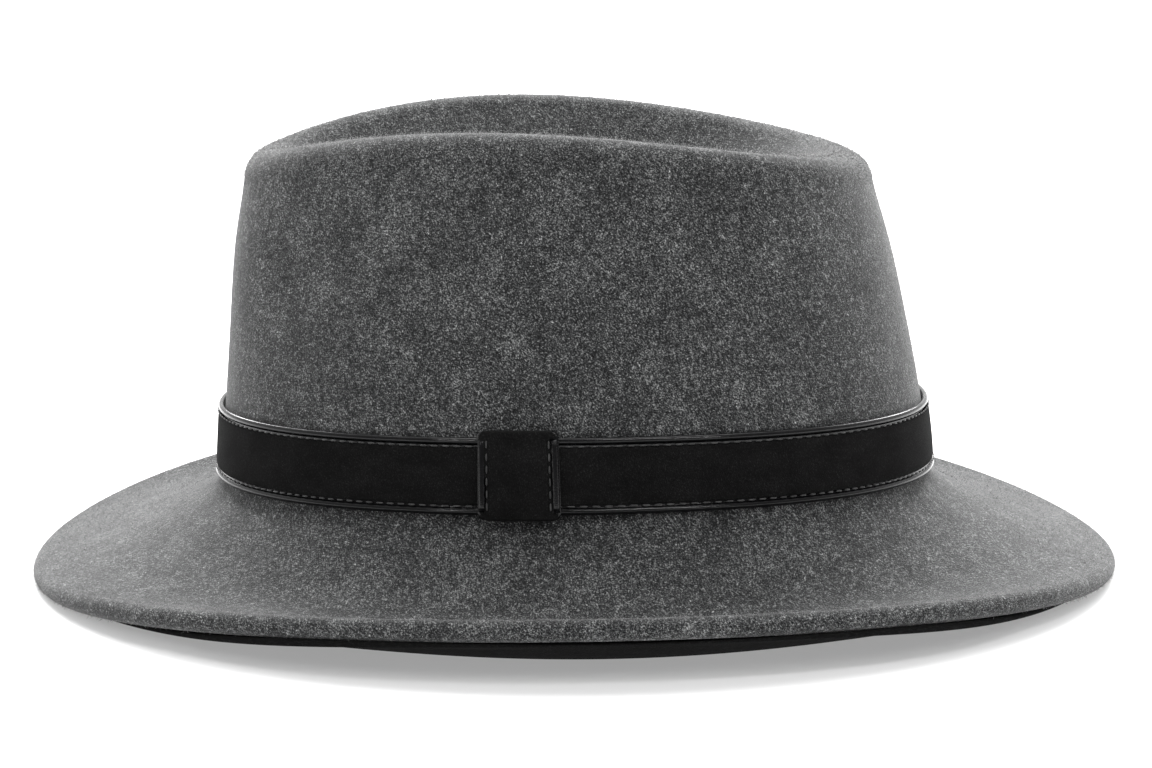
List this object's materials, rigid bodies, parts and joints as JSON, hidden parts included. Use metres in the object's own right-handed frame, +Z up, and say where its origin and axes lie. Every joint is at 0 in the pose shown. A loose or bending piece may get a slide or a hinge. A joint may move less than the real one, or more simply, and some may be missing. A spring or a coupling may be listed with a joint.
{
  "type": "fedora hat",
  "caption": "Wool-felt hat with a teardrop dent, a brim curled up at the sides, and a stitched leather and suede band with a sliding keeper loop.",
  "frame": {"origin": "middle of the hat's outline, on the surface it stands on", "axes": "+Z up, -Y towards the front of the hat, +X towards the wearer's left"},
  "size_m": [0.2836, 0.3226, 0.1346],
  "materials": {
    "grey_felt": "mottled grey wool felt, fuzzy",
    "black_felt": "matt black felt",
    "black_leather": "smooth and shiny",
    "black_suede": "matt suede",
    "thread": "waxed thread",
    "sweat_leather": "semi-matt",
    "satin": "satin",
    "ribbon": "ribbed ribbon",
    "steel": "satin"
  },
  "bodies": {
    "hat": {"felt_body": "grey_felt", "brim_facing": "black_felt", "brim_wire": "steel", "band_strap": "black_leather", "band_suede_face": "black_suede", "band_lower_thread": "thread", "band_upper_thread": "thread", "sweatband": "sweat_leather", "sweatband_reed": "ribbon", "sweatband_seam": "thread", "sweatband_bow": "ribbon", "size_label": "ribbon", "lining_side": "satin", "lining_tip": "satin", "lining_piping": "satin"},
    "keeper": {"keeper_loop": "black_leather", "keeper_front_border": "black_leather", "keeper_back_border": "black_leather", "keeper_suede_face": "black_suede", "keeper_front_thread": "thread", "keeper_back_thread": "thread"}
  },
  "joints": [
    {"name": "keeper_slide", "type": "hinge", "parent": "hat", "child": "keeper", "pos_m": [-0.04036, 0.00206, 0.03254], "axis": [-0.0957, -0.0024, 0.9954], "range_deg": [-3.55, 3.55]}
  ]
}
